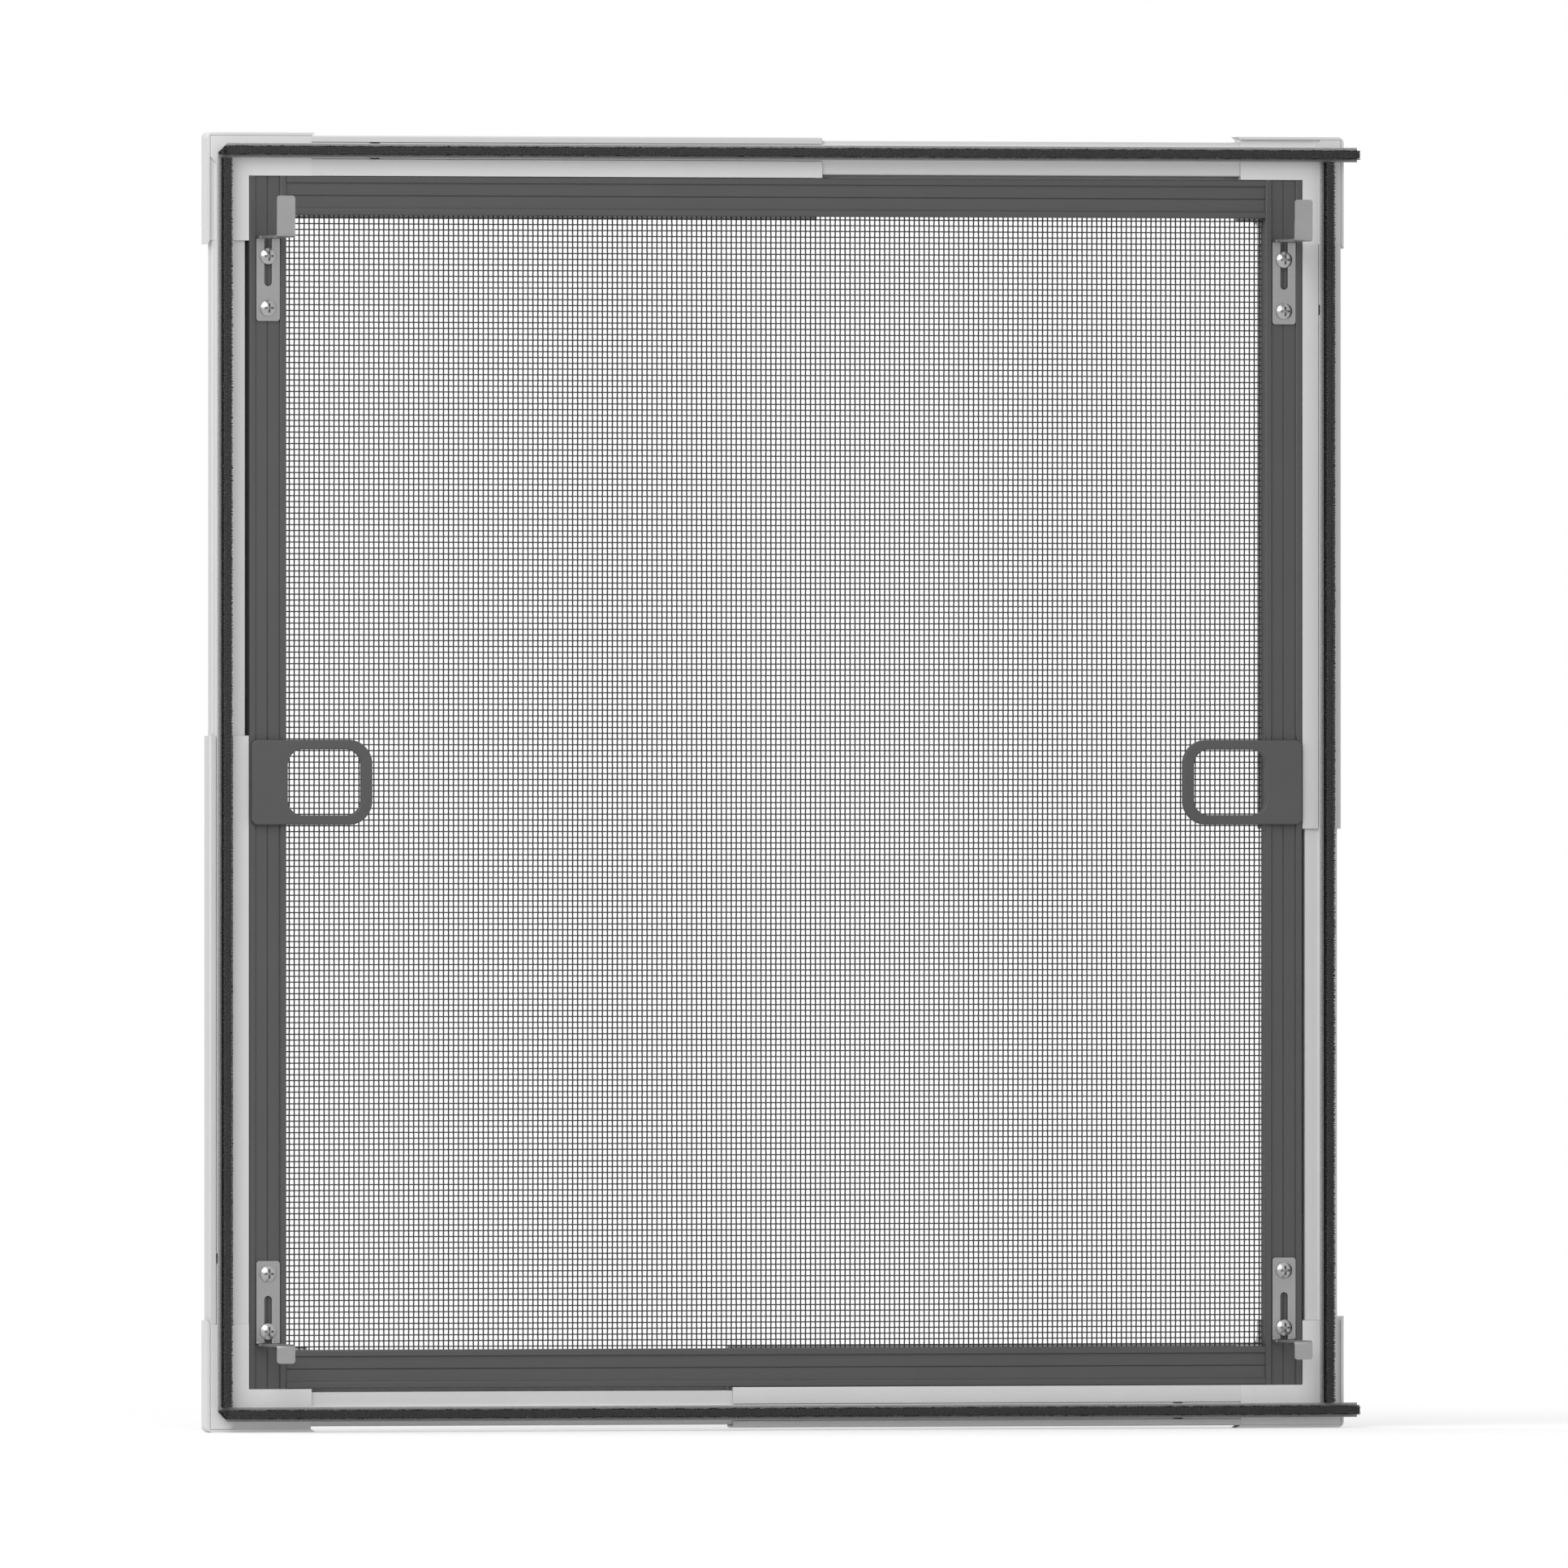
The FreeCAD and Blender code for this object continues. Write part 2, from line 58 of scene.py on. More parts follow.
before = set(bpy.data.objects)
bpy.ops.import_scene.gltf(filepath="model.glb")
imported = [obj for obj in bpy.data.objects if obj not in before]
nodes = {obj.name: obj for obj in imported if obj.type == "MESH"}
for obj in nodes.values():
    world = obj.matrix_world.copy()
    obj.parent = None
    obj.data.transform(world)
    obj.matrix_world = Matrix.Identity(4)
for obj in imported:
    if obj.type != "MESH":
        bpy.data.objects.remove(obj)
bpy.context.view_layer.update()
SIDES = ("left", "right", "top", "bottom")
CORNERS = ("top_left", "top_right", "bottom_left", "bottom_right")
MM = 0.001
THIRD_TURN = math.tau / 3

# Broken edges of the CAD nodes
SAME_POINT = 0.002 * MM
BROKEN_ANGLE = math.radians(40)
SURROUND_BEVEL = 0.25 * MM
CORNER_BEVEL = 0.3 * MM
SCREEN_BEVEL = 0.2 * MM
HOOK_BEVEL = 0.18 * MM

# Materials: range of a noise, shares and sizes of grain, strengths and depths of bumps, lines a millimetre,
# reach of the painted shade in the metal's hollows, and where painted shade darkens the pile's foot and
# painted light its tips
NOISE_LOW = 0.3
NOISE_HIGH = 0.7
FINE_SHARE = 0.35
CLOUD_IN_GRAINS = 60
GRAIN_DEPTH = 0.06 * MM
LINE_DEPTH = 0.04 * MM
LINE_BUMP = 0.3
ALONG_LINES = 0.01
METAL_GRAIN = 1.4
METAL_CLOUD = 14.0
METAL_LINE_DEPTH = 0.03 * MM
METAL_LINE_BUMP = 0.25
PAINTED_SHADE_REACH = 1.6 * MM
FIBRE_DEPTH = 0.15 * MM
FIBRE_ROUGHNESS = (0.62, 0.82)
# Painted shade at the pile's foot and painted light at its tips: the depths where each is full, and the
# tone's share at the foot
PAINTED_SHADE_DEPTH = 2.4 * MM
PAINTED_LIGHT_DEPTH = 0.4 * MM
PAINTED_SHADE_SHARE = 0.3

# Mesh: from the faces of its solid to the middle of the yarns
MESH_INSET = 0.25 * MM

# Brush backing: steps along it, and its profile out from the pile and in from its edge, in thicknesses
BACKING_STEPS = 60
BACKING_CHANNEL = ((0.2, 0.75), (0.7, 1.0))
BACKING_SELVEDGE = ((0.6, 1.0), (0.25, 0.9), (0.0, 0.6), (0.0, 0.0))

# Brush pile: its seat in the backing, its dense core, the tufts along it and the play of each bundle
PILE_SEAT = 0.7
CORE_INSET = 0.1 * MM
CORE_END_INSET = 0.4 * MM
CORE_BEVEL = 0.6
CORE_DROP = 1.4
CORE_FACES = ((0, 3, 2, 1), (4, 5, 6, 7), (0, 1, 5, 4), (1, 2, 6, 5), (2, 3, 7, 6), (3, 0, 4, 7))
TUFT_LENGTH = 1.6 * MM
TUFT_WANDER = 1.7
TUFT_DRIFT = 0.11
RUN_PLAY = 0.3
LEAN = 0.22 * MM
SPLAY = 0.35 * MM
FRAY = 0.45 * MM
SHORT_SHARE = 0.55
TUFT_SHARE = 0.45
BUNDLE_SHARE = (0.42, 0.62)
BUNDLE_TURN = 2.1
TIP_SHARE = 0.8

# Stage: lengths and places in metres, levels of light, and the camera's sensor in millimetres
FLOOR_RADIUS = 3.2
FLOOR_FADE = (0.45, 1.0)
FLOOR_LIFT = 0.25
FAR_FLOOR_LIGHT = 0.5
KEY_SIZE = 2.0
KEY_PLACE = (-1.3, -1.4, 1.2)
SENSOR = 36.0
AIM = (0.0032, 0.008, -0.0008)


def colour_prop(label, words, grey):
    """A colour value, grey by default."""
    return bpy.props.FloatVectorProperty(
        name=label, description=words, subtype="COLOR", size=3, min=0.0, max=1.0, default=(grey, grey, grey)
    )


def length_prop(label, words, millimetres):
    """A length value, with its default given in millimetres."""
    return bpy.props.FloatProperty(
        name=label, description=words, subtype="DISTANCE", unit="LENGTH", min=0.0, precision=5,
        default=millimetres * MM,
    )


class SCREEN_PG_finish(bpy.types.PropertyGroup):
    """Colours of the pieces, in linear light."""

    surround: colour_prop("Surround", "Satin coat of the telescoping profiles", 0.66)
    corner: colour_prop("Corners", "Moulded corners of the surround", 0.7)
    profile: colour_prop("Screen profile", "Dark coat of the screen's stiles and rails", 0.067)
    tab: colour_prop("Finger loops", "Moulded finger loops", 0.068)
    pile: colour_prop("Brush pile", "Fibre of the brush seals", 0.05)
    backing: colour_prop("Brush backing", "Woven backing that carries the pile", 0.35)
    yarn: colour_prop("Mesh yarn", "Coated yarn of the insect mesh", 0.045)
    steel: colour_prop("Hook steel", "Rolled steel strip of the hooks", 0.33)
    zinc: colour_prop("Screw zinc", "Plated screws", 0.4)
    rubber: colour_prop("Spline rubber", "Round cord that holds the mesh", 0.03)
    key: colour_prop("Corner keys", "Plastic keys inside the screen's corners", 0.05)


class SCREEN_PG_weave(bpy.types.PropertyGroup):
    """Sizes of the insect mesh."""

    across: length_prop("Pitch across", "Distance between upright yarns", 2.55)
    up: length_prop("Pitch up", "Distance between level yarns", 2.87)
    width: length_prop("Yarn width", "Width of a yarn seen from the front", 0.62)
    thickness: length_prop("Yarn thickness", "Thickness of a flattened yarn", 0.4)
    tuck: length_prop("Tuck", "How far the mesh turns down into the spline groove", 3.6)


class SCREEN_PG_brush(bpy.types.PropertyGroup):
    """Sizes of the brush seals."""

    pile_width: length_prop("Pile width", "Width of the pile", 4.0)
    backing: length_prop("Backing", "Thickness of the backing", 0.8)
    spacing: length_prop("Spacing", "Distance between fibre bundles along the strip", 0.54)
    fibre: length_prop("Fibre bundle", "Width of one bundle of fibres", 0.5)
    ragged: length_prop("Raggedness", "How much the tips differ in height", 0.9)
    bevel: length_prop("End bevel", "Cut at the outer left corner of the level strips", 5.0)
    rows: bpy.props.IntProperty(name="Rows", description="Rows of bundles across the pile", default=8, min=2)
    seed: bpy.props.IntProperty(name="Seed", description="Seed of the fibres' small differences", default=7)


class SCREEN_PG_stage(bpy.types.PropertyGroup):
    """Camera and light."""

    azimuth: bpy.props.FloatProperty(
        name="Azimuth", description="Turn of the camera to the left of the screen's front", subtype="ANGLE",
        default=math.radians(-16.0),
    )
    elevation: bpy.props.FloatProperty(
        name="Elevation", description="Height of the camera as an angle", subtype="ANGLE", default=0.0
    )
    distance: length_prop("Distance", "From the camera to the screen", 20000.0)
    picture: length_prop("Picture height", "Height of the picture at the screen", 776.0)
    key: bpy.props.FloatProperty(
        name="Key light", description="Power of the large soft light", subtype="POWER", default=25.0
    )
    ambient: bpy.props.FloatProperty(name="Ambient", description="Level of the plain room light", default=0.8)
    floor: colour_prop("Floor", "Pale studio floor", 0.8)


def settings():
    """The scene, which holds the values of the add-on."""
    return bpy.context.scene


def put(tree, kind, x, y, **values):
    """A new node at a place in the node editor."""
    node = tree.nodes.new(kind)
    node.location = (x, y)
    for name, value in values.items():
        setattr(node, name, value)
    return node


def new_group(name, inputs, outputs):
    """An empty shader group with float sockets, and its two ends."""
    group = bpy.data.node_groups.new(name, "ShaderNodeTree")
    for label, default in inputs:
        socket = group.interface.new_socket(name=label, in_out="INPUT", socket_type="NodeSocketFloat")
        socket.default_value = default
    for label in outputs:
        group.interface.new_socket(name=label, in_out="OUTPUT", socket_type="NodeSocketFloat")
    return group, put(group, "NodeGroupInput", -900, 0), put(group, "NodeGroupOutput", 700, 0)


def scaled_place(group, start, label, x=-700):
    """The place on the piece, counted in grains of the size that the named input gives in millimetres."""
    place = put(group, "ShaderNodeTexCoord", x, 200)
    per_metre = put(group, "ShaderNodeMath", x, -50, operation="DIVIDE")
    per_metre.inputs[0].default_value = 1000.0
    group.links.new(start.outputs[label], per_metre.inputs[1])
    scaled = put(group, "ShaderNodeVectorMath", x + 200, 100, operation="SCALE")
    group.links.new(place.outputs["Object"], scaled.inputs[0])
    group.links.new(per_metre.outputs[0], scaled.inputs["Scale"])
    return scaled.outputs[0]


def grain_group():
    """Fine grain of a coat or a mould, as a height and a shade from 0 to 1."""
    name = "Fine grain"
    if name in bpy.data.node_groups:
        return bpy.data.node_groups[name]
    group, start, end = new_group(name, [("Grain size", 0.6), ("Cloud size", 30.0)], ["Height", "Shade"])
    fine = put(group, "ShaderNodeTexNoise", -250, 200)
    fine.inputs["Scale"].default_value = 1.0
    fine.inputs["Detail"].default_value = 2.0
    group.links.new(scaled_place(group, start, "Grain size"), fine.inputs["Vector"])
    cloud = put(group, "ShaderNodeTexNoise", -250, -250)
    cloud.inputs["Scale"].default_value = 1.0
    cloud.inputs["Detail"].default_value = 4.0
    group.links.new(scaled_place(group, start, "Cloud size", -750), cloud.inputs["Vector"])
    both = put(group, "ShaderNodeMath", 100, 0, operation="MULTIPLY_ADD")
    both.inputs[1].default_value = FINE_SHARE
    group.links.new(fine.outputs["Fac"], both.inputs[0])
    part = put(group, "ShaderNodeMath", 0, -250, operation="MULTIPLY")
    part.inputs[1].default_value = 1 - FINE_SHARE
    group.links.new(cloud.outputs["Fac"], part.inputs[0])
    group.links.new(part.outputs[0], both.inputs[2])
    group.links.new(fine.outputs["Fac"], end.inputs["Height"])
    group.links.new(both.outputs[0], end.inputs["Shade"])
    return group


def drawn_group():
    """Fine lines left by drawing or rolling, with their density across each axis in lines a millimetre."""
    name = "Drawn lines"
    if name in bpy.data.node_groups:
        return bpy.data.node_groups[name]
    inputs = [("Across X", 4.0), ("Across Y", 4.0), ("Across Z", 0.02)]
    group, start, end = new_group(name, inputs, ["Height"])
    place = put(group, "ShaderNodeTexCoord", -700, 250)
    density = put(group, "ShaderNodeCombineXYZ", -700, -50)
    for axis in "XYZ":
        group.links.new(start.outputs["Across " + axis], density.inputs[axis])
    metres = put(group, "ShaderNodeVectorMath", -480, -50, operation="SCALE")
    metres.inputs["Scale"].default_value = 1000.0
    group.links.new(density.outputs[0], metres.inputs[0])
    scaled = put(group, "ShaderNodeVectorMath", -280, 100, operation="MULTIPLY")
    group.links.new(place.outputs["Object"], scaled.inputs[0])
    group.links.new(metres.outputs[0], scaled.inputs[1])
    lines = put(group, "ShaderNodeTexNoise", -50, 100)
    lines.inputs["Scale"].default_value = 1.0
    lines.inputs["Detail"].default_value = 3.0
    group.links.new(scaled.outputs[0], lines.inputs["Vector"])
    group.links.new(lines.outputs["Fac"], end.inputs["Height"])
    return group


def speckle_group():
    """Small cells of differing tone, as fibres or yarns show."""
    name = "Fibre speckle"
    if name in bpy.data.node_groups:
        return bpy.data.node_groups[name]
    group, start, end = new_group(name, [("Cell size", 0.6)], ["Tone", "Height"])
    cells = put(group, "ShaderNodeTexVoronoi", -250, 100, feature="F1")
    cells.inputs["Scale"].default_value = 1.0
    group.links.new(scaled_place(group, start, "Cell size"), cells.inputs["Vector"])
    tone = put(group, "ShaderNodeSeparateColor", 50, 150)
    group.links.new(cells.outputs["Color"], tone.inputs[0])
    group.links.new(tone.outputs[0], end.inputs["Tone"])
    group.links.new(cells.outputs["Distance"], end.inputs["Height"])
    return group


def place_group(tree, group, x, y, values):
    """A shader group in a material, with its values set."""
    node = put(tree, "ShaderNodeGroup", x, y, node_tree=group)
    for label, value in values.items():
        node.inputs[label].default_value = value
    return node


def new_material(name):
    """A material with a bare Principled shader."""
    material = bpy.data.materials.new(name)
    material.use_nodes = True
    tree = material.node_tree
    tree.nodes.clear()
    out = put(tree, "ShaderNodeOutputMaterial", 700, 0)
    shader = put(tree, "ShaderNodeBsdfPrincipled", 400, 0)
    tree.links.new(shader.outputs["BSDF"], out.inputs["Surface"])
    return material, tree, shader


def ranged(tree, value, low, high, x, y):
    """A noise, with its middle range spread between low and high."""
    node = put(tree, "ShaderNodeMapRange", x, y)
    node.inputs["From Min"].default_value = NOISE_LOW
    node.inputs["From Max"].default_value = NOISE_HIGH
    node.inputs["To Min"].default_value = low
    node.inputs["To Max"].default_value = high
    tree.links.new(value, node.inputs["Value"])
    return node.outputs["Result"]


def two_tone(tree, factor, dark, light, x, y):
    """A colour between a dark and a light one."""
    node = put(tree, "ShaderNodeMix", x, y, data_type="RGBA")
    node.inputs["A"].default_value = (*dark, 1.0)
    node.inputs["B"].default_value = (*light, 1.0)
    tree.links.new(factor, node.inputs["Factor"])
    return node.outputs["Result"]


def toned(colour, share):
    """A colour made darker or lighter."""
    return tuple(min(1.0, channel * share) for channel in colour)


def bumped(tree, shader, height, strength, depth, x, y, under=None):
    """Raises the surface by a height of the given depth in metres."""
    node = put(tree, "ShaderNodeBump", x, y)
    node.inputs["Strength"].default_value = strength
    node.inputs["Distance"].default_value = depth
    tree.links.new(height, node.inputs["Height"])
    if under is not None:
        tree.links.new(under, node.inputs["Normal"])
    if shader is not None:
        tree.links.new(node.outputs["Normal"], shader.inputs["Normal"])
    return node.outputs["Normal"]


def lines_along(axis, density):
    """Values for drawn lines that run along an axis, in lines a millimetre."""
    return {"Across " + name: ALONG_LINES if name == axis else density for name in "XYZ"}


def spread_tone(tree, factor, colour, spread, x, y):
    """The colour, darker and lighter by a share."""
    return two_tone(tree, factor, toned(colour, 1 - spread), toned(colour, 1 + spread), x, y)


def coat_material(name, colour, grain, rough, bump, spread, lines=None):
    """A coat or moulding: fine grain, clouded tone and roughness, and lines where the profile was drawn."""
    material, tree, shader = new_material(name)
    sizes = {"Grain size": grain, "Cloud size": grain * CLOUD_IN_GRAINS}
    skin = place_group(tree, grain_group(), -500, 0, sizes)
    shade = put(tree, "ShaderNodeClamp", -300, 200)
    tree.links.new(ranged(tree, skin.outputs["Shade"], 0.0, 1.0, -400, 300), shade.inputs["Value"])
    tone = spread_tone(tree, shade.outputs[0], colour, spread, 0, 250)
    tree.links.new(tone, shader.inputs["Base Color"])
    tree.links.new(ranged(tree, skin.outputs["Shade"], *rough, 0, 0), shader.inputs["Roughness"])
    under = None
    if lines:
        drawn = place_group(tree, drawn_group(), -500, -350, lines)
        under = bumped(tree, None, drawn.outputs["Height"], LINE_BUMP, LINE_DEPTH, -100, -350)
    bumped(tree, shader, skin.outputs["Height"], bump, GRAIN_DEPTH, 100, -250, under)
    return material


def drawn_coats(name, colour, density, **values):
    """One coat for upright and one for level profiles, by side."""
    upright = coat_material(name + ", upright", colour, lines=lines_along("Z", density), **values)
    level = coat_material(name + ", level", colour, lines=lines_along("X", density), **values)
    return {"left": upright, "right": upright, "top": level, "bottom": level}


def metal_material(name, colour, rough, lines, aniso, spread=0.12):
    """Rolled or plated metal with lines along its strip, with painted shade darkening its hollows."""
    material, tree, shader = new_material(name)
    shader.inputs["Metallic"].default_value = 1.0
    shader.inputs["Anisotropic"].default_value = aniso
    drawn = place_group(tree, drawn_group(), -500, -200, lines)
    sizes = {"Grain size": METAL_GRAIN, "Cloud size": METAL_CLOUD}
    skin = place_group(tree, grain_group(), -500, 150, sizes)
    # Painted shade: ambient occlusion darkens the base colour in recesses, such as the screws' cross recess
    hollow_shade = put(tree, "ShaderNodeAmbientOcclusion", 200, 300, samples=6, only_local=True)
    hollow_shade.inputs["Distance"].default_value = PAINTED_SHADE_REACH
    tone = spread_tone(tree, skin.outputs["Shade"], colour, spread, 0, 250)
    tree.links.new(tone, hollow_shade.inputs["Color"])
    tree.links.new(hollow_shade.outputs["Color"], shader.inputs["Base Color"])
    tree.links.new(ranged(tree, drawn.outputs["Height"], *rough, 0, 0), shader.inputs["Roughness"])
    bumped(tree, shader, drawn.outputs["Height"], METAL_LINE_BUMP, METAL_LINE_DEPTH, 100, -250)
    return material


def painted_pile_light_and_shade(tree, tone, tip):
    """The tone with painted shade at the foot of the pile and painted light, scaled by the tip's value,
    towards the window.
    """
    place = put(tree, "ShaderNodeTexCoord", -700, 500)
    parts = put(tree, "ShaderNodeSeparateXYZ", -500, 500)
    tree.links.new(place.outputs["Object"], parts.inputs[0])
    # Painted shade and light: the tone is darkest at the pile's foot and lightest at its tips, by depth alone
    rise = put(tree, "ShaderNodeMapRange", -300, 500)
    rise.inputs["From Min"].default_value = PAINTED_SHADE_DEPTH
    rise.inputs["From Max"].default_value = PAINTED_LIGHT_DEPTH
    rise.inputs["To Min"].default_value = PAINTED_SHADE_SHARE
    rise.inputs["To Max"].default_value = tip
    tree.links.new(parts.outputs["Y"], rise.inputs["Value"])
    lit = put(tree, "ShaderNodeVectorMath", 50, 350, operation="SCALE")
    tree.links.new(tone, lit.inputs[0])
    tree.links.new(rise.outputs["Result"], lit.inputs["Scale"])
    return lit.outputs[0]


def fibre_material(name, colour, cell, spread, bump, gloss=0.3, tip=None):
    """Fibres or yarns of differing tone. A tip value paints light on the end towards the window and shade at
    its foot.
    """
    material, tree, shader = new_material(name)
    shader.inputs["Specular IOR Level"].default_value = gloss
    fleck = place_group(tree, speckle_group(), -500, 100, {"Cell size": cell})
    tone = spread_tone(tree, fleck.outputs["Tone"], colour, spread, -200, 250)
    if tip is not None:
        tone = painted_pile_light_and_shade(tree, tone, tip)
    tree.links.new(tone, shader.inputs["Base Color"])
    rough = ranged(tree, fleck.outputs["Tone"], *FIBRE_ROUGHNESS, 0, 0)
    tree.links.new(rough, shader.inputs["Roughness"])
    bumped(tree, shader, fleck.outputs["Height"], bump, FIBRE_DEPTH, 100, -250)
    return material


def dress(node, material):
    """Gives a CAD node its finish."""
    if node not in nodes:
        raise RuntimeError("the model has no node named " + node)
    piece = nodes[node]
    piece.data.materials.clear()
    piece.data.materials.append(material)
    return piece


def soften(piece, width):
    """Breaks the sharp edges of a CAD node with a narrow bevel, as paint or a mould leaves them."""
    weld = piece.modifiers.new("Join faces", "WELD")
    weld.merge_threshold = SAME_POINT
    bevel = piece.modifiers.new("Broken edges", "BEVEL")
    bevel.width = width
    bevel.segments = 2
    bevel.limit_method = "ANGLE"
    bevel.angle_limit = BROKEN_ANGLE
    bevel.harden_normals = True


def new_piece(name, points, faces, material, slot, *replaced):
    """A mesh piece that rides on the screen and stands for the named nodes."""
    mesh = bpy.data.meshes.new(name)
    mesh.from_pydata(points, [], faces)
    mesh.update()
    mesh.materials.append(material)
    piece = bpy.data.objects.new(name, mesh)
    bpy.context.scene.collection.objects.link(piece)
    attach(piece, "root")
    if replaced:
        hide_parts(*replaced)
    return piece


def smooth(piece):
    """Shades the piece without its facets."""
    piece.data.polygons.foreach_set("use_smooth", [True] * len(piece.data.polygons))


class SCREEN_OT_surround(bpy.types.Operator):
    """Coats the telescoping profiles and the moulded corners of the surround"""

    bl_idname = "screen.surround"
    bl_label = "Surround"

    def execute(self, context):
        finish = settings().screen_finish
        coats = drawn_coats(
            "Satin white coat", finish.surround, 3.0, grain=0.5, rough=(0.5, 0.64), bump=0.12, spread=0.025
        )
        moulded = coat_material(
            "Moulded white", finish.corner, grain=0.35, rough=(0.42, 0.58), bump=0.2, spread=0.02
        )
        for side in SIDES:
            for start in ("sleeve_", "slide_rail_"):
                soften(dress(start + side, coats[side]), SURROUND_BEVEL)
        for corner in CORNERS:
            soften(dress("corner_" + corner, moulded), CORNER_BEVEL)
        return {"FINISHED"}


class SCREEN_OT_profiles(bpy.types.Operator):
    """Coats the screen's stiles and rails, and finishes the keys and splines inside them"""

    bl_idname = "screen.profiles"
    bl_label = "Screen profiles"

    def execute(self, context):
        finish = settings().screen_finish
        coats = drawn_coats(
            "Dark powder coat", finish.profile, 2.5, grain=0.45, rough=(0.4, 0.54), bump=0.3, spread=0.06
        )
        for side in ("left", "right"):
            soften(dress("stile_" + side, coats[side]), SCREEN_BEVEL)
        for side in ("top", "bottom"):
            soften(dress("screen_rail_" + side, coats[side]), SCREEN_BEVEL)
        rubber = coat_material(
            "Spline rubber", finish.rubber, grain=0.8, rough=(0.6, 0.8), bump=0.4, spread=0.15
        )
        for side in SIDES:
            dress("spline_" + side, rubber)
        plastic = coat_material(
            "Corner key plastic", finish.key, grain=0.5, rough=(0.45, 0.6), bump=0.25, spread=0.08
        )
        for corner in CORNERS:
            dress("corner_key_" + corner, plastic)
        return {"FINISHED"}


class SCREEN_OT_mesh(bpy.types.Operator):
    """Weaves the insect mesh in four panels, with its edges turned down into the spline grooves"""

    bl_idname = "screen.mesh"
    bl_label = "Insect mesh"

    def execute(self, context):
        weave = settings().screen_weave
        colour = settings().screen_finish.yarn
        yarn = fibre_material("Coated mesh yarn", colour, cell=0.5, spread=0.35, bump=0.3)
        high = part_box("insect_mesh")[1]
        self.half = (high.x - MESH_INSET, high.z - MESH_INSET)
        self.plane = high.y - MESH_INSET
        self.fold = self.plane - weave.tuck
        self.weave = weave
        columns = 2 * round(self.half[0] / weave.across)
        rows = 2 * round(self.half[1] / weave.up)
        self.columns = [(i + 0.5 - columns / 2) * 2 * self.half[0] / columns for i in range(columns)]
        self.rows = [(i + 0.5 - rows / 2) * 2 * self.half[1] / rows for i in range(rows)]
        for upper in (True, False):
            for right in (False, True):
                self.panel(upper, right, yarn)
        return {"FINISHED"}

    def panel(self, upper, right, material):
        """One quarter of the mesh, with both sets of yarns."""
        name = "insect_mesh_" + ("upper_" if upper else "lower_") + ("right" if right else "left")
        points = []
        faces = []
        columns = [(i, x) for i, x in enumerate(self.columns) if (x > 0) == right]
        rows = [(j, z) for j, z in enumerate(self.rows) if (z > 0) == upper]
        for i, x in columns:
            stops = [(z, 1 if (i + j) % 2 else -1) for j, z in rows]
            self.yarn(points, faces, x, stops, upper, self.half[1], False)
        for j, z in rows:
            stops = [(x, -1 if (i + j) % 2 else 1) for i, x in columns]
            self.yarn(points, faces, z, stops, right, self.half[0], True)
        piece = new_piece(name, points, faces, material, "mesh_yarn", "insect_mesh")
        smooth(piece)

    def yarn(self, points, faces, across, stops, outward, half, level):
        """A flattened yarn that goes over and under the yarns at its stops, from the middle to the groove."""
        wide = self.weave.width / 2
        thick = self.weave.thickness / 2
        sign = 1 if outward else -1
        stops = stops if outward else stops[::-1]
        # Each ring has its place and depth, and how its thickness lies along the yarn and in depth
        rings = [(0.0, self.plane, 0.0, 1.0)]
        rings += [(along, self.plane + thick * over, 0.0, 1.0) for along, over in stops]
        rings.append((sign * half, self.plane, sign, 1.0))
        rings.append((sign * half, self.fold, sign, 0.0))
        first = len(points)
        for along, y, out, up in rings:
            for side, rise in ((-wide, -thick), (wide, -thick), (wide, thick), (-wide, thick)):
                run = along + rise * out
                depth = y + rise * up
                points.append((run, depth, across + side) if level else (across + side, depth, run))
        flip = level == outward
        for ring in range(len(rings) - 1):
            a = first + 4 * ring
            for k in range(4):
                face = (a + k, a + (k + 1) % 4, a + 4 + (k + 1) % 4, a + 4 + k)
                faces.append(face[::-1] if flip else face)
        last = len(points) - 4
        begin = (first + 3, first + 2, first + 1, first)
        finish = (last, last + 1, last + 2, last + 3)
        faces.append(begin[::-1] if flip else begin)
        faces.append(finish[::-1] if flip else finish)


